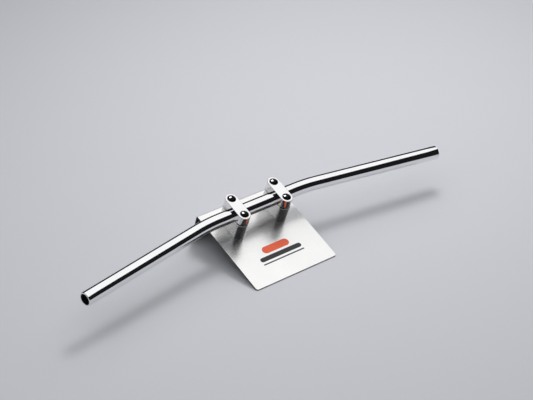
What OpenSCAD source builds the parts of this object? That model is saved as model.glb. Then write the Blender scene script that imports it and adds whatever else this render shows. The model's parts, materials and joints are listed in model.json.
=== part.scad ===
// Motorcycle handlebar: one bent tube in two split clamps, bolted to a folded display stand.
// The row stands on z = 0. +X runs along the bar to the rider's right, +Y points forward,
// away from the rider, and the origin is at the middle of the footprint of the bounding box.

/* [Bar] */
// Outside diameter of the tube, the standard 7/8 inch bar
tube_od = 22.2; // [20:0.1:24]
// Wall thickness of the tube
tube_wall = 2.2; // [1.5:0.1:3]
// Distance from the middle of the bar to the corner of each bend
apex_half = 94; // [90:1:120]
// Angle that each arm sweeps back from the middle section
sweep = 9.5; // [4:0.5:14]
// Radius of each bend, at the tube's axis
bend_r = 270; // [150:10:280]
// Length of each arm from the corner of its bend to its open end
arm_len = 247.5; // [180:0.5:320]
// Angle of the plane of the arms above the plane of the deck
bar_turn = 8; // [-10:1:30]

/* [Clamps] */
// Distance between the two clamps, centre to centre
clamp_pitch = 81.5; // [70:0.5:90]
// Distance between the two bolts of one clamp
bolt_pitch = 34.5; // [34:0.5:42]
// Width of a clamp, which is also the diameter of its round ends
clamp_w = 20; // [19:0.5:24]
// Height of the top of a cap above the axis of the bar
cap_top = 17.2; // [16:0.2:20]
// Height of the axis of the bar above the deck
bar_height = 32.5; // [30:0.5:40]
// Gap between cap and holder, shared equally by the two
split_gap = 1.6; // [0.8:0.2:2]
// Radial running clearance of the bar in its clamps
saddle_clear = 0.05; // [0.02:0.01:0.08]
// Bevel along the edges of caps and holders
edge_bevel = 0.5; // [0.2:0.1:1]

/* [Cap bolts and covers] */
// Thread diameter of a cap bolt
cap_bolt_d = 8; // [8]
// Length of a cap bolt under its head
cap_bolt_len = 35; // [30:1:35]
// Diameter of the socket head of a cap bolt
cap_head_d = 13; // [12.5:0.1:13.2]
// Diameter of a cover
plug_d = 13.5; // [13:0.1:13.8]
// Height of the top of a cover above the cap
plug_rise = 2.8; // [1.5:0.1:4]

/* [Holder bolts] */
// Thread diameter of the bolt that comes up through the deck
holder_bolt_d = 10; // [10]
// Length of a holder bolt under its head
holder_bolt_len = 20; // [16:1:20]

/* [Stand] */
// Width of the deck, along the bar
deck_w = 155; // [125:1:190]
// Length of the deck from the axis of the bar to its front edge, nearest the rider
deck_front = 119; // [95:1:140]
// Length of the deck from the axis of the bar back to the outside of the fold
deck_back = 43.5; // [36:0.5:60]
// Thickness of the sheet
sheet = 2; // [1.5:0.5:3]
// Slope of the deck when the stand rests on its front edge and its leg
deck_tilt = 20; // [16:1:24]
// Inside radius of the fold between deck and leg
fold_in = 1.5; // [1:0.5:3]
// Radius of the corners of the sheet
corner_r = 4; // [1:0.5:10]

/* [Emblem] */
// Length of the black stripes of the emblem
emblem_w = 78; // [60:1:100]
// Length of the orange bar of the emblem
orange_w = 50; // [30:1:60]
// Distance of the emblem's middle from the axis of the bar, along the deck
emblem_y = 70; // [60:1:80]

/* [Hidden] */
$fn = 96;

left = -1;
right = 1;
front = 1;
rear = -1;
eps = 0.01;

// bar
tube_r = tube_od / 2;
bore_r = tube_r - tube_wall;
tangent_len = bend_r * tan(sweep / 2);
straight_half = apex_half - tangent_len;
arm_straight = arm_len - tangent_len;
end_bevel = 0.6;
// each straight stretch runs this far into a bend, and the bends are this much thicker
lap = 4;
hair = 0.05;

// clamps
clamp_r = clamp_w / 2;
clamp_x = clamp_pitch / 2;
bolt_y = bolt_pitch / 2;
saddle_r = tube_r + saddle_clear;

// cap bolts and covers
cap_bolt_r = cap_bolt_d / 2;
// radial clearance of a loose hole and of a threaded one, and the spare depth under a bolt's tip
free_clear = 0.25;
thread_clear = 0.05;
cap_hole_spare = 2.4;
holder_hole_spare = 1.6;
cap_hole_r = cap_bolt_r + free_clear;
cap_head_h = cap_bolt_d;
head_depth = 0.8;
counterbore_r = plug_d / 2 + free_clear;
seat_z = cap_top - cap_head_h - head_depth;
cap_hole_end_z = seat_z - cap_bolt_len - cap_hole_spare;
key_flat = 6;
key_r = key_flat / sqrt(3);
key_depth = 4.2;
stem_clear = 0.05;
stem_r = key_flat / 2 - stem_clear;
stem_len = 3.6;
plug_rim = 0.2;

// holder bolts and washers, from the underside of the deck down
under_z = -bar_height - sheet;
flat_washer_r = 10;
flat_washer_t = 2;
spring_washer_r = 9;
spring_washer_t = 2.2;
holder_bolt_r = holder_bolt_d / 2;
holder_head_z = under_z - flat_washer_t - spring_washer_t;
holder_head_h = 6.4;
wrench_flat = 17;
wrench_r = wrench_flat / sqrt(3);
spring_washer_clear = 0.15;
deck_hole_clear = 0.5;
holder_bolt_grip = holder_bolt_len - sheet - flat_washer_t - spring_washer_t;
holder_hole_len = holder_bolt_grip + holder_hole_spare;

// stand: the leg is as long as it takes to stand level on the deck's front edge
fold_out = fold_in + sheet;
front_low = -deck_front * sin(deck_tilt) - (bar_height + sheet) * cos(deck_tilt);
leg_foot_z = (front_low - (deck_back - sheet) * sin(deck_tilt)) / cos(deck_tilt);
front_y = -deck_front * cos(deck_tilt) + bar_height * sin(deck_tilt);
back_y = deck_back * cos(deck_tilt) - leg_foot_z * sin(deck_tilt);
axis_y = -(front_y + back_y) / 2;
axis_z = -front_low;

// emblem
film = 0.2;
wide_stripe = 13;
mid_stripe = 8;
thin_stripe = 2;
stripe_gap = 4;
emblem_top = wide_stripe + mid_stripe + thin_stripe + 2 * stripe_gap;

// Places its children by the deck: origin on the bar's axis, +Z square to the deck.
module on_deck() {
    translate([0, axis_y, axis_z])
        rotate([deck_tilt, 0, 0])
            children();
}

// Places its children on the centre line of one clamp.
module at_clamp(side) {
    on_deck()
        translate([side * clamp_x, 0, 0])
            children();
}

// Places its children on the centre line of one cap bolt.
module at_cap_bolt(side, end) {
    at_clamp(side)
        translate([0, end * bolt_y, 0])
            children();
}

// One arm from the end of its bend outwards, along +X, with its rim bevelled by the cut b.
module arm_rod(r, len, b) {
    rotate([0, 90, 0])
        rotate_extrude()
            polygon([[0, -lap], [r, -lap], [r, len - b], [r - b, len], [0, len]]);
}

// The whole bar as a solid rod of radius r. over lengthens the arms, b bevels their ends.
// The straight stretches run a little way into the bends, which are a hair thicker.
module bar_rod(r, over, b) {
    rotate([-bar_turn, 0, 0]) {
        rotate([0, 90, 0])
            cylinder(r = r, h = 2 * (straight_half + lap), center = true);
        for (side = [left, right])
            mirror([side == left ? 1 : 0, 0, 0])
                translate([straight_half, -bend_r, 0]) {
                    rotate([0, 0, 90 - sweep])
                        rotate_extrude(angle = sweep)
                            translate([bend_r, 0])
                                circle(r = r + hair);
                    rotate([0, 0, -sweep])
                        translate([0, bend_r, 0])
                            arm_rod(r, arm_straight + over, b);
                }
    }
}

// A block with half-round ends, from z0 to z1, centred on the clamp.
module clamp_block(z0, z1) {
    r = clamp_r;
    b = edge_bevel;
    for (end = [front, rear])
        translate([0, end * bolt_y, 0])
            rotate_extrude()
                polygon([[0, z0], [r - b, z0], [r, z0 + b], [r, z1 - b], [r - b, z1], [0, z1]]);
    rotate([90, 0, 0])
        linear_extrude(bolt_pitch, center = true)
            polygon([[b - r, z0], [r - b, z0], [r, z0 + b], [r, z1 - b],
                     [r - b, z1], [b - r, z1], [-r, z1 - b], [-r, z0 + b]]);
}

// The round seat that the bar lies in.
module saddle_cut() {
    rotate([0, 90, 0])
        cylinder(r = saddle_r, h = clamp_w + 2, center = true);
}

module bar_tube() {
    color("silver")
        on_deck()
            difference() {
                bar_rod(tube_r, 0, end_bevel);
                bar_rod(bore_r, 1, 0);
            }
}

module cap(side) {
    color("gainsboro")
        at_clamp(side)
            difference() {
                clamp_block(split_gap / 2, cap_top);
                saddle_cut();
                for (end = [front, rear])
                    translate([0, end * bolt_y, 0]) {
                        cylinder(r = cap_hole_r, h = cap_top);
                        translate([0, 0, seat_z])
                            cylinder(r = counterbore_r, h = cap_top);
                    }
            }
}

module cap_bolt(side, end) {
    head_r = cap_head_d / 2;
    head_z = seat_z + cap_head_h;
    tip_z = seat_z - cap_bolt_len;
    tip_bevel = 1;
    head_bevel = 0.6;
    color("dimgray")
        at_cap_bolt(side, end)
            difference() {
                rotate_extrude()
                    polygon([[0, tip_z], [cap_bolt_r - tip_bevel, tip_z],
                             [cap_bolt_r, tip_z + tip_bevel], [cap_bolt_r, seat_z],
                             [head_r, seat_z], [head_r, head_z - head_bevel],
                             [head_r - head_bevel, head_z], [0, head_z]]);
                translate([0, 0, head_z - key_depth])
                    cylinder(r = key_r, h = key_depth + 1, $fn = 6);
            }
}

module plug(side, end) {
    plug_r = plug_d / 2;
    base_z = cap_top - head_depth;
    rim_z = cap_top + plug_rim;
    rise = plug_rise - plug_rim;
    dome_r = (plug_r * plug_r + rise * rise) / (2 * rise);
    color("black")
        at_cap_bolt(side, end) {
            translate([0, 0, base_z - stem_len])
                cylinder(r = stem_r, h = stem_len + eps);
            intersection() {
                translate([0, 0, base_z])
                    cylinder(r = plug_r, h = rim_z + rise - base_z);
                translate([0, 0, rim_z + rise - dome_r])
                    sphere(r = dome_r);
            }
        }
}

module holder(side) {
    color("gainsboro")
        at_clamp(side)
            difference() {
                clamp_block(-bar_height, -split_gap / 2);
                saddle_cut();
                for (end = [front, rear])
                    translate([0, end * bolt_y, cap_hole_end_z])
                        cylinder(r = cap_bolt_r + thread_clear, h = -cap_hole_end_z);
                translate([0, 0, -bar_height - 1])
                    cylinder(r = holder_bolt_r + thread_clear, h = holder_hole_len + 1);
            }
}

module holder_bolt(side) {
    tip_bevel = 1;
    low_z = holder_head_z - holder_head_h;
    tip_z = holder_head_z + holder_bolt_len;
    color("lightgray")
        at_clamp(side) {
            rotate_extrude()
                polygon([[0, holder_head_z - eps], [holder_bolt_r, holder_head_z - eps],
                         [holder_bolt_r, tip_z - tip_bevel],
                         [holder_bolt_r - tip_bevel, tip_z], [0, tip_z]]);
            intersection() {
                translate([0, 0, low_z])
                    cylinder(r = wrench_r, h = holder_head_h, $fn = 6);
                translate([0, 0, low_z])
                    cylinder(r1 = wrench_flat / 2, r2 = wrench_flat / 2 + 2 * holder_head_h,
                             h = holder_head_h);
            }
        }
}

module flat_washer(side) {
    color("lightgray")
        at_clamp(side)
            translate([0, 0, under_z - flat_washer_t])
                difference() {
                    cylinder(r = flat_washer_r, h = flat_washer_t);
                    translate([0, 0, -1])
                        cylinder(r = holder_bolt_r + free_clear, h = flat_washer_t + 2);
                }
}

module spring_washer(side) {
    split = 1.5;
    slant = 25;
    color("gray")
        at_clamp(side)
            translate([0, 0, holder_head_z])
                difference() {
                    cylinder(r = spring_washer_r, h = spring_washer_t);
                    translate([0, 0, -1])
                        cylinder(r = holder_bolt_r + spring_washer_clear, h = spring_washer_t + 2);
                    translate([0, -spring_washer_r, spring_washer_t / 2])
                        rotate([0, slant, 0])
                            cube([split, spring_washer_r, 3 * spring_washer_t], center = true);
                }
}

// A flat rectangle from y = 0 to y = len with its two far corners round.
module round_sheet(w, len, r) {
    translate([-w / 2, 0])
        square([w, len - r]);
    translate([r - w / 2, 0])
        square([w - 2 * r, len]);
    for (side = [left, right])
        translate([side * (w / 2 - r), len - r])
            circle(r = r);
}

module stand_plate() {
    fold_y = deck_back - fold_out;
    fold_z = -bar_height - fold_out;
    color("whitesmoke")
        on_deck()
            difference() {
                union() {
                    translate([0, fold_y, -bar_height - sheet])
                        mirror([0, 1, 0])
                            linear_extrude(sheet)
                                round_sheet(deck_w, deck_front + fold_y, corner_r);
                    translate([deck_w / 2, fold_y, fold_z])
                        rotate([0, -90, 0])
                            rotate_extrude(angle = 90)
                                translate([fold_in, 0])
                                    square([sheet, deck_w]);
                    translate([0, deck_back, fold_z])
                        rotate([90, 0, 0])
                            linear_extrude(sheet)
                                mirror([0, 1])
                                    round_sheet(deck_w, fold_z - leg_foot_z, corner_r);
                }
                for (side = [left, right])
                    translate([side * clamp_x, 0, under_z - 1])
                        cylinder(r = holder_bolt_r + deck_hole_clear, h = sheet + 2);
            }
}

// One stripe of film with round ends, of length w and height h, centred on the deck. y is the
// distance of its upper edge from the emblem's top.
module stripe(y, w, h) {
    r = h / 2;
    flat = w / 2 - r;
    on_deck()
        translate([0, emblem_top / 2 - emblem_y - y - r, -bar_height])
            linear_extrude(film) {
                translate([-flat, -r])
                    square([2 * flat, h]);
                for (side = [left, right])
                    translate([side * flat, 0])
                        circle(r = r);
            }
}

module emblem_bar() {
    color("orangered")
        stripe(0, orange_w, wide_stripe);
}

module emblem_stripes() {
    color("black") {
        stripe(wide_stripe + stripe_gap, emblem_w, mid_stripe);
        stripe(wide_stripe + mid_stripe + 2 * stripe_gap, emblem_w, thin_stripe);
    }
}

bar_tube();
cap(left);  // left_cap
cap(right);  // right_cap
cap_bolt(left, front);  // left_front_cap_bolt
cap_bolt(left, rear);  // left_rear_cap_bolt
cap_bolt(right, front);  // right_front_cap_bolt
cap_bolt(right, rear);  // right_rear_cap_bolt
plug(left, front);  // left_front_plug
plug(left, rear);  // left_rear_plug
plug(right, front);  // right_front_plug
plug(right, rear);  // right_rear_plug
holder(left);  // left_holder
holder(right);  // right_holder
holder_bolt(left);  // left_holder_bolt
holder_bolt(right);  // right_holder_bolt
flat_washer(left);  // left_flat_washer
flat_washer(right);  // right_flat_washer
spring_washer(left);  // left_spring_washer
spring_washer(right);  // right_spring_washer
stand_plate();
emblem_bar();
emblem_stripes();
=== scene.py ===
import json
import math

import bmesh
import bpy
from mathutils import Matrix, Vector


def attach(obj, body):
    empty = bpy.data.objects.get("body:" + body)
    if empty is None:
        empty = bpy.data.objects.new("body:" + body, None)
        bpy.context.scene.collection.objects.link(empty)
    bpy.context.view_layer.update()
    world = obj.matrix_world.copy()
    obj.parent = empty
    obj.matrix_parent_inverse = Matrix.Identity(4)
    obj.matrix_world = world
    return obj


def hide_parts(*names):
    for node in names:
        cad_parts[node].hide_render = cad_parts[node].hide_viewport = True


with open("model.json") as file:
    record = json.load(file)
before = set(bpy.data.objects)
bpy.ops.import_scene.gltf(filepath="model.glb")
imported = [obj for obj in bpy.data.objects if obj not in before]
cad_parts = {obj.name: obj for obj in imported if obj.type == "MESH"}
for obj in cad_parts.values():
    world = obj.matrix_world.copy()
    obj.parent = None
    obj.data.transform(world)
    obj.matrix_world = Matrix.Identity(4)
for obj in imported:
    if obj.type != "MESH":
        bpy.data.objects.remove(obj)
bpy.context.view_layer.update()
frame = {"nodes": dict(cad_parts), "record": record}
record = frame["record"]
nodes = frame["nodes"]

MM = 0.001
SIDES = ("left", "right")
ENDS = ("front", "rear")
ALONG_X = Vector((1, 0, 0))

# ---------------------------------------------------------------- the frame's own measures
# "Deck coordinates" have their origin on the bar's axis and +Z square to the stand's deck.
joints = {j["name"]: j for j in record["behaviour"]["joints"]}
mounts = {m["name"]: m for m in record["mounts"]}
bar_axis = Vector(joints["bar_turn"]["pos_m"])
lift = Vector(joints["left_cap_lift"]["axis"])
deck_tilt = math.atan2(-lift.y, lift.z)
DECK = Matrix.Translation(bar_axis) @ Matrix.Rotation(deck_tilt, 4, "X")
TO_DECK = DECK.inverted()
TUBE_R = mounts["right_grip_seat"]["dims"]["r_mm"] * MM
BORE_R = mounts["right_end_bore"]["dims"]["r_mm"] * MM


def deck_span(node):
    """Lowest and highest corner of a CAD node in deck coordinates."""
    points = [TO_DECK @ v.co for v in nodes[node].data.vertices]
    low = Vector([min(p[i] for p in points) for i in range(3)])
    high = Vector([max(p[i] for p in points) for i in range(3)])
    return low, high


def on_deck(x, y=0.0):
    """A place in deck coordinates, at the height of the bar's axis."""
    return DECK @ Matrix.Translation((x, y, 0))


# ---------------------------------------------------------------- meshes
def new_object(name, verts, faces, materials, sharp=30):
    """A mesh object with smooth faces, split where they meet at more than sharp degrees."""
    mesh = bpy.data.meshes.new(name)
    mesh.from_pydata([tuple(v) for v in verts], [], faces)
    mesh.validate()
    mesh.update()
    finish_shading(mesh, sharp)
    piece = bpy.data.objects.new(name, mesh)
    bpy.context.scene.collection.objects.link(piece)
    for m in materials:
        mesh.materials.append(m)
    return piece


def finish_shading(mesh, sharp=30):
    """Faces point outwards, and are smooth except across sharp edges."""
    bm = bmesh.new()
    bm.from_mesh(mesh)
    bmesh.ops.recalc_face_normals(bm, faces=bm.faces)
    bm.to_mesh(mesh)
    bm.free()
    mesh.shade_smooth()
    mesh.set_sharp_from_angle(angle=math.radians(sharp))


def bake(piece):
    """Applies the piece's modifiers, so that its mesh is final."""
    bpy.context.view_layer.update()
    seen = piece.evaluated_get(bpy.context.evaluated_depsgraph_get())
    mesh = bpy.data.meshes.new_from_object(seen)
    piece.modifiers.clear()
    old = piece.data
    piece.data = mesh
    bpy.data.meshes.remove(old)


def loft(rings, closed=False):
    """(verts, faces) of a skin over rings of equally many points, with flat ends unless closed."""
    n = len(rings[0])
    verts = [p for ring in rings for p in ring]
    faces = []
    for k in range(len(rings) if closed else len(rings) - 1):
        a = k * n
        b = (k + 1) % len(rings) * n
        for i in range(n):
            j = (i + 1) % n
            faces.append((a + i, a + j, b + j, b + i))
    if not closed:
        faces.append(tuple(range(n)))
        faces.append(tuple(range(len(verts) - n, len(verts))))
    return verts, faces


def circle(radius, z, steps):
    """A ring about the Z axis."""
    turn = [2 * math.pi * i / steps for i in range(steps)]
    return [Vector((radius * math.cos(a), radius * math.sin(a), z)) for a in turn]


def arc(centre, radius, start, end, steps):
    """Points (a, b) along an arc, both ends included, with angles in degrees."""
    angles = [math.radians(start + (end - start) * i / steps) for i in range(steps + 1)]
    return [(centre[0] + radius * math.cos(a), centre[1] + radius * math.sin(a)) for a in angles]


def turned(profile, steps=96):
    """(verts, faces) of a body turned about Z, from its profile of (radius, z) points."""
    axis_gap = 1e-6
    return loft([circle(max(r, axis_gap), z, steps) for r, z in profile])


def rod(radius, low, high, steps=96):
    """(verts, faces) of a plain cutter along Z."""
    return turned([(radius, low), (radius, high)], steps)


def placed(geometry, matrix):
    """The same geometry moved by a matrix."""
    verts, faces = geometry
    return [matrix @ Vector(v) for v in verts], faces


def stadium(radius, half, z, steps=20):
    """A ring with two round ends whose centres lie at y = +half and y = -half."""
    ring = []
    for end, start in ((1, 0), (-1, 180)):
        for x, y in arc((0, end * half), radius, start, start + 180, steps):
            ring.append(Vector((x, y, z)))
    return ring


def cut(piece, cutters, bevel):
    """Takes the cutters, each (verts, faces), out of the piece and rounds the new edges."""
    made = []
    for verts, faces in cutters:
        tool = new_object(piece.name + "_cutter", verts, faces, [])
        made.append(tool)
        m = piece.modifiers.new("cut", "BOOLEAN")
        m.operation = "DIFFERENCE"
        m.solver = "EXACT"
        m.object = tool
    m = piece.modifiers.new("round", "BEVEL")
    m.width = bevel
    m.segments = 2
    m.limit_method = "ANGLE"
    m.angle_limit = math.radians(50)
    bake(piece)
    for tool in made:
        bpy.data.objects.remove(tool)
    finish_shading(piece.data)
    weigh_normals(piece)


def weigh_normals(piece):
    """Flat faces stay flat next to their rounded edges."""
    m = piece.modifiers.new("normals", "WEIGHTED_NORMAL")
    m.keep_sharp = True
    m.weight = 100


def hand_over(piece, body, node):
    """The piece stands for a CAD node, which it hides, and moves with its body."""
    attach(piece, body)
    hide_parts(node)


# ---------------------------------------------------------------- materials
class Nodes:
    """Builds one node material: a Principled surface with procedural inputs."""

    def __init__(self, name, **sockets):
        self.material = bpy.data.materials.new(name)
        self.material.use_nodes = True
        self.tree = self.material.node_tree
        self.tree.nodes.clear()
        self.surface = self.add("ShaderNodeBsdfPrincipled")
        out = self.add("ShaderNodeOutputMaterial")
        self.link(self.surface.outputs["BSDF"], out.inputs["Surface"])
        for key, value in sockets.items():
            self.surface.inputs[key.replace("_", " ")].default_value = value
        self.place = self.add("ShaderNodeTexCoord").outputs["Object"]

    def add(self, kind, **settings):
        node = self.tree.nodes.new(kind)
        for key, value in settings.items():
            setattr(node, key, value)
        return node

    def link(self, a, b):
        self.tree.links.new(a, b)

    def mapped(self, stretch):
        """The place on the object, with each axis stretched."""
        node = self.add("ShaderNodeMapping", vector_type="POINT")
        node.inputs["Scale"].default_value = stretch
        self.link(self.place, node.inputs["Vector"])
        return node.outputs["Vector"]

    def noise(self, scale, detail, stretch=(1, 1, 1), rough=0.55):
        """Noise over the object, in cycles a metre. It runs finer along a stretched axis."""
        node = self.add("ShaderNodeTexNoise")
        node.inputs["Scale"].default_value = scale
        node.inputs["Detail"].default_value = detail
        node.inputs["Roughness"].default_value = rough
        self.link(self.mapped(stretch), node.inputs["Vector"])
        return node.outputs["Fac"]

    def spread(self, value, low, high, start=0.3, end=0.7):
        """Maps a noise, between start and end, onto a range."""
        node = self.add("ShaderNodeMapRange")
        node.inputs["From Min"].default_value = start
        node.inputs["From Max"].default_value = end
        node.inputs["To Min"].default_value = low
        node.inputs["To Max"].default_value = high
        self.link(value, node.inputs["Value"])
        return node.outputs["Result"]

    def math(self, operation, a, b):
        """Two values added or multiplied."""
        node = self.add("ShaderNodeMath", operation=operation)
        self.link(a, node.inputs[0])
        self.link(b, node.inputs[1])
        return node.outputs["Value"]

    def colour(self, share, first, second):
        """The surface's colour runs from the first to the second with a value."""
        node = self.add("ShaderNodeMix", data_type="RGBA")
        ends = [i for i in node.inputs if i.type == "RGBA"]
        ends[0].default_value = (*first, 1)
        ends[1].default_value = (*second, 1)
        self.link(share, node.inputs["Factor"])
        mixed = [o for o in node.outputs if o.type == "RGBA"][0]
        self.link(mixed, self.surface.inputs["Base Color"])

    def roughness(self, value):
        self.link(value, self.surface.inputs["Roughness"])

    def bump(self, height, strength, distance):
        """Raises the surface by a noise. The distance is in metres."""
        node = self.add("ShaderNodeBump")
        node.inputs["Strength"].default_value = strength
        node.inputs["Distance"].default_value = distance
        self.link(height, node.inputs["Height"])
        self.link(node.outputs["Normal"], self.surface.inputs["Normal"])


def chrome(name, tint, along):
    """Mirror chrome: faint waviness from polishing, hairline scratches and a thin haze."""
    m = Nodes(name, Metallic=1.0, IOR=2.5)
    wave = m.noise(60, 2, along)
    haze = m.noise(45, 4)
    hair = m.noise(60, 5, tuple(30 * a for a in along), rough=0.7)
    m.colour(m.spread(haze, 0, 1), tint, tuple(0.95 * c for c in tint))
    m.roughness(m.math("ADD", m.spread(haze, 0.015, 0.045), m.spread(hair, 0.0, 0.03, 0.5, 0.8)))
    m.bump(wave, 0.25, 0.03 * MM)
    return m.material


def bore_steel():
    """The tube's inside: drawn steel, dark with oil, with lengthwise draw marks and rust specks."""
    m = Nodes("bore_steel", Metallic=0.9)
    marks = m.noise(25, 4, (2, 60, 60))
    specks = m.noise(300, 3)
    shade = m.math("MULTIPLY", m.spread(marks, 0.4, 1), m.spread(specks, 0.5, 1))
    m.colour(shade, (0.035, 0.028, 0.022), (0.12, 0.115, 0.11))
    m.roughness(m.spread(specks, 0.35, 0.6))
    m.bump(marks, 0.4, 0.1 * MM)
    return m.material


def satin_steel():
    """The stand's face: satin sheet, finely brushed across the deck."""
    m = Nodes("satin_steel", Metallic=1.0)
    brushed = m.noise(14, 6, (3, 220, 220), rough=0.7)
    cloud = m.noise(14, 3)
    m.colour(m.spread(cloud, 0, 1), (0.875, 0.875, 0.866), (0.835, 0.836, 0.828))
    m.roughness(m.math("ADD", m.spread(brushed, 0.24, 0.31), m.spread(cloud, 0.0, 0.03)))
    m.bump(brushed, 0.12, 0.03 * MM)
    return m.material


def painted_shade_inner_steel():
    """The sheet's inner side: unpolished, with painted shade: its dark grey, cloudy colour stands
    in for the shade inside the stand.
    """
    m = Nodes("painted_shade_inner_steel", Metallic=0.9)
    cloud = m.noise(30, 5)
    grain = m.noise(14, 5, (3, 220, 220))
    # dark grey painted shade for the shadowed inner side
    m.colour(m.spread(cloud, 0, 1), (0.13, 0.13, 0.135), (0.2, 0.2, 0.2))
    m.roughness(m.spread(grain, 0.35, 0.5))
    m.bump(grain, 0.2, 0.04 * MM)
    return m.material


def painted_shade_edge_steel():
    """The sheet's sheared edges: dull and streaked across the thickness; their near-black colour is
    painted shade on the edges.
    """
    m = Nodes("painted_shade_edge_steel", Metallic=0.7)
    streaks = m.noise(6, 4, (200, 200, 8))
    # near-black painted shade on the edges, streaked across the thickness
    m.colour(m.spread(streaks, 0, 1), (0.03, 0.03, 0.032), (0.09, 0.09, 0.09))
    m.roughness(m.spread(streaks, 0.45, 0.65))
    m.bump(streaks, 0.3, 0.05 * MM)
    return m.material


def gloss_black():
    """The covers: glossy moulded plastic with a faint moulding ripple."""
    m = Nodes("gloss_black", IOR=1.5, Specular_IOR_Level=0.1)
    ripple = m.noise(220, 2)
    dust = m.noise(900, 4)
    m.colour(m.spread(dust, 0, 1, 0.55, 0.8), (0.003, 0.003, 0.0035), (0.009, 0.009, 0.0095))
    m.roughness(m.spread(dust, 0.12, 0.2))
    m.bump(ripple, 0.1, 0.04 * MM)
    return m.material


def black_oxide():
    """The cap bolts: blackened steel, worn a little brighter in patches."""
    m = Nodes("black_oxide", Metallic=0.8)
    wear = m.noise(260, 5)
    m.colour(m.spread(wear, 0, 1, 0.45, 0.75), (0.03, 0.03, 0.032), (0.11, 0.105, 0.1))
    m.roughness(m.spread(wear, 0.32, 0.5))
    m.bump(wear, 0.2, 0.05 * MM)
    return m.material


def bright_zinc():
    """Washers and holder bolts: bright zinc plate, faintly blue and cloudy."""
    m = Nodes("bright_zinc", Metallic=1.0)
    bloom = m.noise(180, 4)
    m.colour(m.spread(bloom, 0, 1), (0.58, 0.60, 0.64), (0.68, 0.68, 0.66))
    m.roughness(m.spread(bloom, 0.22, 0.38))
    m.bump(bloom, 0.15, 0.04 * MM)
    return m.material


def film(name, dark, light):
    """Printed film: the ink is a little uneven, under a satin face."""
    m = Nodes(name, IOR=1.48)
    ink = m.noise(400, 5)
    m.colour(m.spread(ink, 0, 1), dark, light)
    m.roughness(m.spread(ink, 0.28, 0.4))
    m.bump(ink, 0.1, 0.02 * MM)
    return m.material


def matt_black():
    """The cards that stand round the set: matt black felt."""
    m = Nodes("matt_black")
    nap = m.noise(400, 3)
    m.colour(m.spread(nap, 0, 1), (0.008, 0.008, 0.008), (0.012, 0.012, 0.012))
    m.roughness(m.spread(nap, 0.85, 0.98))
    return m.material


def paper_floor():
    """The studio floor: matt pale paper with a very faint tooth."""
    m = Nodes("paper_floor")
    tooth = m.noise(900, 3)
    m.colour(m.spread(tooth, 0, 1), (0.588, 0.600, 0.636), (0.608, 0.620, 0.656))
    m.roughness(m.spread(tooth, 0.75, 0.9))
    return m.material


CHROME_BAR = chrome("chrome_bar", (0.90, 0.905, 0.91), (0.15, 1, 1))
CHROME_CLAMP = chrome("chrome_clamp", (0.90, 0.90, 0.90), (1, 1, 1))
BORE = bore_steel()
SATIN = satin_steel()
INNER_SHADE_STEEL = painted_shade_inner_steel()
EDGE_SHADE_STEEL = painted_shade_edge_steel()
GLOSS = gloss_black()
OXIDE = black_oxide()
ZINC = bright_zinc()
ORANGE = film("film_orange", (0.78, 0.10, 0.035), (0.86, 0.14, 0.05))
BLACK = film("film_black", (0.010, 0.010, 0.011), (0.022, 0.022, 0.024))
CARD = matt_black()


# ---------------------------------------------------------------- groups with a lamp of their own
def light_group(name):
    """A collection of the pieces that a lamp of their own lights."""
    group = bpy.data.collections.new(name)
    bpy.context.scene.collection.children.link(group)
    return group


COVERS = light_group("covers")
SHEETS = light_group("sheets")


# ---------------------------------------------------------------- the bar
def make_bar():
    """One tube swept along a straight middle, two bends and two arms, rounded at its rims."""
    bore = mounts["right_end_bore"]
    arm = bore["dims"]["length_mm"] * MM
    along = Vector(bore["axis"]).normalized()
    arm_start = Vector(bore["pos_m"]) - along * arm / 2
    tip = arm_start + along * arm
    sweep = math.acos(along.x)
    plane_up = ALONG_X.cross(-along).normalized()
    rear = ALONG_X.cross(plane_up).normalized()
    # the bend starts as far inward of its corner as it ends outward of it
    tangent = (arm_start - bar_axis).cross(ALONG_X).length / math.sin(sweep)
    bend_r = tangent / math.tan(sweep / 2)
    bend_start = bar_axis + ALONG_X * (arm_start.x - along.x * tangent - tangent)
    centre = bend_start + rear * bend_r

    rim_r = 0.5 * MM
    lip_r = 0.25 * MM
    bend_steps = 24
    arm_steps = 12
    around = 96

    def ring(point, direction, radius):
        side = plane_up.cross(direction).normalized()
        up = direction.cross(side).normalized()
        turn = [2 * math.pi * i / around for i in range(around)]
        return [point + side * radius * math.cos(a) + up * radius * math.sin(a) for a in turn]

    def rim(point, inward, direction):
        """Rings over one open end, from the outer wall round the rim to the bore."""
        outer = arc((TUBE_R - rim_r, rim_r), rim_r, 0, -90, 5)
        inner = arc((BORE_R + lip_r, lip_r), lip_r, -90, -180, 3)
        return [ring(point + inward * depth, direction, r) for r, depth in outer + inner]

    def mirrored(point):
        return Vector((-point.x, point.y, point.z))

    right = []
    for i in range(bend_steps + 1):
        a = sweep * i / bend_steps
        point = centre - rear * bend_r * math.cos(a) + ALONG_X * bend_r * math.sin(a)
        right.append((point, ALONG_X * math.cos(a) + rear * math.sin(a)))
    bend_end = right[-1][0]
    right += [(bend_end.lerp(tip, i / arm_steps), along) for i in range(1, arm_steps)]
    left = [(mirrored(p), -mirrored(t)) for p, t in reversed(right)]
    path = left + right

    outer = [ring(p, t, TUBE_R) for p, t in path]
    inner = [ring(p, t, BORE_R) for p, t in path]
    left_along = -mirrored(along)
    right_rim = rim(tip, -along, along)
    left_rim = rim(mirrored(tip), left_along, left_along)
    rings = outer + right_rim + inner[::-1] + left_rim[::-1]
    verts, faces = loft(rings, closed=True)
    bar = new_object("bar", verts, faces, [CHROME_BAR, BORE], sharp=60)

    bore_from = len(outer) + len(right_rim) - 1
    bore_to = len(outer) + len(right_rim) + len(inner)
    for polygon in bar.data.polygons:
        lowest_ring = min(v // around for v in polygon.vertices)
        if bore_from <= lowest_ring < bore_to:
            polygon.material_index = 1
    hand_over(bar, "bar", "bar_tube")


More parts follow.
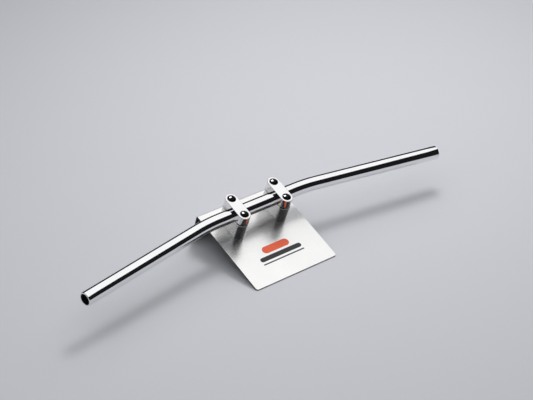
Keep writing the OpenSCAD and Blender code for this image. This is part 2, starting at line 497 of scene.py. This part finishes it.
# ---------------------------------------------------------------- the clamps
def block(low, high, edge):
    """A block with half-round ends and softly rounded upper and lower edges."""
    radius = (high.x - low.x) / 2
    half = (high.y - low.y) / 2 - radius
    profile = arc((radius - edge, low.z + edge), edge, -90, 0, 5)
    profile += arc((radius - edge, high.z - edge), edge, 0, 90, 5)
    return loft([stadium(r, half, z) for r, z in profile])


def make_clamp(side, body, part):
    """A cap or a holder, with its half of the round seat that the bar lies in."""
    saddle_r = TUBE_R + 0.05 * MM
    edges = {"cap": 0.7 * MM, "holder": 0.9 * MM}
    cut_edge = 0.25 * MM
    head_height = 8 * MM
    well_clear = 0.25 * MM
    loose_hole_r = 4.25 * MM
    thread_hole_r = 4.05 * MM
    spare_depth = 2.4 * MM
    overlap = 0.1 * MM
    node = f"{side}_{part}"
    low, high = deck_span(node)
    width = high.x - low.x
    x = (low.x + high.x) / 2
    shift = Vector((x, 0, 0))
    verts, faces = placed(block(low - shift, high - shift, edges[part]), on_deck(x))
    piece = new_object(f"{side}_clamp_{part}", verts, faces, [CHROME_CLAMP])
    lying = on_deck(x) @ Matrix.Rotation(math.pi / 2, 4, "Y")
    cutters = [placed(rod(saddle_r, -width, width, 160), lying)]
    for end in ENDS:
        bolt_low, bolt_high = deck_span(f"{side}_{end}_cap_bolt")
        here = on_deck(x, (bolt_low.y + bolt_high.y) / 2)
        if part == "cap":
            plug_low, plug_high = deck_span(f"{side}_{end}_plug")
            seat = bolt_high.z - head_height
            well_r = (plug_high.x - plug_low.x) / 2 + well_clear
            cutters.append(placed(rod(well_r, seat, high.z + width), here))
            cutters.append(placed(rod(loose_hole_r, -width, seat + overlap, 64), here))
        else:
            cutters.append(placed(rod(thread_hole_r, bolt_low.z - spare_depth, width, 64), here))
    cut(piece, cutters, cut_edge)
    hand_over(piece, body, node)


def make_cover(side, end, body):
    """A domed cover with a rolled rim and a stem that snaps into the bolt's socket."""
    node = f"{side}_{end}_plug"
    low, high = deck_span(node)
    x = (low.x + high.x) / 2
    y = (low.y + high.y) / 2
    cap_top = deck_span(f"{side}_cap")[1].z
    radius = (high.x - low.x) / 2
    base = cap_top - 0.8 * MM
    rim_z = cap_top + 0.1 * MM
    roll = 0.35 * MM
    edge = 0.3 * MM
    stem_r = 2.95 * MM
    crown_r = radius - roll
    rise = high.z - rim_z
    dome_r = (crown_r ** 2 + rise ** 2) / (2 * rise)
    dome_z = high.z - dome_r
    steps = 20
    spread = math.asin(crown_r / dome_r)
    profile = [(0, low.z), (stem_r - edge, low.z), (stem_r, low.z + edge), (stem_r, base)]
    profile += [(radius - edge, base), (radius, base + edge), (radius, rim_z - roll)]
    profile += arc((crown_r, rim_z - roll), roll, 0, 70, 4)[1:]
    for i in range(1, steps + 1):
        a = spread * (1 - i / steps)
        profile.append((dome_r * math.sin(a), dome_z + dome_r * math.cos(a)))
    verts, faces = placed(turned(profile), on_deck(x, y))
    piece = new_object(f"{side}_{end}_cover", verts, faces, [GLOSS], sharp=40)
    COVERS.objects.link(piece)
    hand_over(piece, body, node)


# ---------------------------------------------------------------- the stand
def make_stand():
    """One sheet with two round corners at each end, folded over a small radius."""
    low, high = deck_span("stand_plate")
    sheet = 2 * MM
    fold_in = 1.5 * MM
    corner = 4 * MM
    bolt_hole_r = 5.5 * MM
    hole_edge = 0.3 * MM
    corner_steps = 10
    deck_steps = 8
    fold_steps = 14
    leg_steps = 3
    fold_out = fold_in + sheet
    fold_y = high.y - fold_out
    fold_z = high.z - fold_out
    fold_len = math.pi / 2 * (fold_in + sheet / 2)
    fold_end = fold_y + fold_len
    leg = fold_z - low.z
    end = fold_end + leg
    half = (high.x - low.x) / 2

    def width_at(s):
        """Half width of the blank at a distance s along it."""
        into = min(s - low.y, end - s)
        if into >= corner:
            return half
        return half - corner + math.sqrt(max(0.0, corner ** 2 - (corner - into) ** 2))

    def folded(x, s, depth):
        """Where a point of the flat blank lands once the sheet is folded."""
        if s <= fold_y:
            return Vector((x, s, high.z - depth))
        turn = min((s - fold_y) / fold_len, 1) * math.pi / 2
        reach = fold_out - depth
        y = fold_y + reach * math.sin(turn)
        z = fold_z + reach * math.cos(turn)
        return Vector((x, y, z - max(0.0, s - fold_end)))

    def steps_over(start, length, steps):
        """Stations along a stretch, without its start and with its end."""
        return [start + length * i / steps for i in range(1, steps + 1)]

    quarter = [math.pi / 2 * i / corner_steps for i in range(corner_steps + 1)]
    corners = [corner * (1 - math.cos(a)) for a in quarter]
    stations = [low.y + c for c in corners]
    stations += steps_over(low.y + corner, fold_y - low.y - corner, deck_steps)
    stations += steps_over(fold_y, fold_len, fold_steps)
    stations += steps_over(fold_end, leg - corner, leg_steps)
    stations += [end - c for c in reversed(corners[:-1])]
    rings = []
    for s in stations:
        w = width_at(s)
        rings.append([folded(-w, s, 0), folded(w, s, 0), folded(w, s, sheet), folded(-w, s, sheet)])
    verts, faces = placed(loft(rings), DECK)
    piece = new_object("stand_sheet", verts, faces, [SATIN, EDGE_SHADE_STEEL, INNER_SHADE_STEEL])
    # each ring gives a face, a right edge, an inner side and a left edge, and two ends come last
    for polygon in piece.data.polygons:
        # the edges and both ends take the near-black painted-shade edge material
        if polygon.index % 4 in (1, 3) or polygon.index >= len(faces) - 2:
            polygon.material_index = 1
        # the inner side takes the painted-shade material
        elif polygon.index % 4 == 2:
            polygon.material_index = 2
    holes = []
    for side in SIDES:
        bolt_low, bolt_high = deck_span(f"{side}_holder_bolt")
        here = on_deck((bolt_low.x + bolt_high.x) / 2)
        holes.append(placed(rod(bolt_hole_r, high.z - 2 * sheet, high.z + sheet, 64), here))
    cut(piece, holes, hole_edge)
    SHEETS.objects.link(piece)
    hand_over(piece, "stand", "stand_plate")


# ---------------------------------------------------------------- camera, lights and floor
def make_camera():
    """A long lens that looks down on the bar from the rider's left."""
    azimuth = math.radians(37.676)
    elevation = math.radians(31.775)
    roll = math.radians(-0.153)
    distance = 2.42625
    aim = Vector((0.01409, 0.00832, 0.07973))
    forward = Vector((math.sin(azimuth) * math.cos(elevation),
                      math.cos(azimuth) * math.cos(elevation), -math.sin(elevation)))
    data = bpy.data.cameras.new("camera")
    data.sensor_width = 36
    data.lens = 106.187
    camera = bpy.data.objects.new("camera", data)
    bpy.context.scene.collection.objects.link(camera)
    look = forward.to_track_quat("-Z", "Y").to_matrix().to_4x4()
    back = Matrix.Translation(aim - forward * distance)
    camera.matrix_world = back @ look @ Matrix.Rotation(roll, 4, "Z")
    bpy.context.scene.camera = camera


def heading(azimuth):
    """The level direction at an azimuth in degrees from +Y towards +X."""
    return Vector((math.sin(math.radians(azimuth)), math.cos(math.radians(azimuth)), 0))


def area_light(name, size, place, azimuth, radiance, tip=0):
    """A lamp that looks down, its second side along the azimuth, tipped by some degrees."""
    data = bpy.data.lights.new(name, "AREA")
    data.shape = "RECTANGLE"
    data.size, data.size_y = size
    data.energy = radiance * math.pi * size[0] * size[1]
    lamp = bpy.data.objects.new(name, data)
    turn = Matrix.Rotation(math.radians(-azimuth), 4, "Z")
    tilt = Matrix.Rotation(math.radians(tip), 4, "X")
    lamp.matrix_world = Matrix.Translation(place) @ turn @ tilt
    bpy.context.scene.collection.objects.link(lamp)
    lamp.visible_camera = False
    return lamp


def black_card(name, azimuth, distance, height):
    """A matt black card on the floor that keeps the floor beyond it out of the chrome."""
    width = 2.2
    foot = heading(azimuth) * distance
    side = heading(azimuth + 90) * width / 2
    up = Vector((0, 0, height))
    corners = [foot - side, foot + side, foot + side + up, foot - side + up]
    card = new_object(name, corners, [(0, 1, 2, 3)], [CARD])
    card.visible_camera = False
    card.visible_shadow = False
    card.visible_diffuse = False


def make_lamps():
    """A wide diffusion panel with a lamp behind it, and small lamps for the covers and the leg."""
    azimuth = 50
    height = 1.33
    over_bar = height - bar_axis.z
    far_edge = 1.76 * over_bar
    right_edge = 0.85 * over_bar
    near_edge = 0.4
    width = 2.2
    length = far_edge + near_edge
    fill_length = 1.3
    across = heading(azimuth + 90) * (right_edge - width / 2) + Vector((0, 0, height))
    middle = heading(azimuth) * (far_edge - length / 2)
    area_light("panel", (width, length), middle + across, azimuth, 1.05)
    behind = heading(azimuth) * (-near_edge - fill_length / 2)
    fill = area_light("fill", (width, fill_length), behind + across, azimuth, 1.3)
    fill.visible_glossy = False
    core = area_light("core", (0.42, 0.6), Vector((0.50, 0.31, height - 0.02)), azimuth, 10.2)
    core.visible_glossy = False
    over_covers = heading(16) * 0.7 + Vector((0, 0, 1.25))
    sparkle = area_light("sparkle", (0.55, 0.55), over_covers, 16, 450)
    sparkle.visible_diffuse = False
    sparkle.light_linking.receiver_collection = COVERS
    facing_leg = heading(0) * 1.6 + Vector((0, 0, 0.5))
    leg_fill = area_light("leg_fill", (2.4, 0.9), facing_leg, 0, 0.45, tip=-90)
    leg_fill.light_linking.receiver_collection = SHEETS


def make_room():
    """A dark room, a pale floor and the two black cards."""
    world = bpy.data.worlds.new("room")
    world.use_nodes = True
    background = world.node_tree.nodes["Background"]
    background.inputs["Color"].default_value = (0.010, 0.010, 0.012, 1)
    bpy.context.scene.world = world
    reach = 6
    corners = [(-reach, -reach, 0), (reach, -reach, 0), (reach, reach, 0), (-reach, reach, 0)]
    floor = new_object("floor", corners, [(0, 1, 2, 3)], [paper_floor()])
    black_card("card_right", 150, 0.585, 0.1)
    black_card("card_far", 30, 0.32, 0.075)


# ---------------------------------------------------------------- everything
make_bar()
for side_name in SIDES:
    clamp_top = f"{side_name}_clamp_top"
    make_clamp(side_name, clamp_top, "cap")
    make_clamp(side_name, "stand", "holder")
    for end_name in ENDS:
        make_cover(side_name, end_name, clamp_top)
make_stand()

finishes = {"emblem_bar": ORANGE, "emblem_stripes": BLACK}
for node_name, node in nodes.items():
    if node.hide_render:
        continue
    usual = OXIDE if "cap_bolt" in node_name else ZINC
    node.data.materials.clear()
    node.data.materials.append(finishes.get(node_name, usual))

make_camera()
make_lamps()
make_room()
bpy.context.scene.view_settings.view_transform = "Standard"
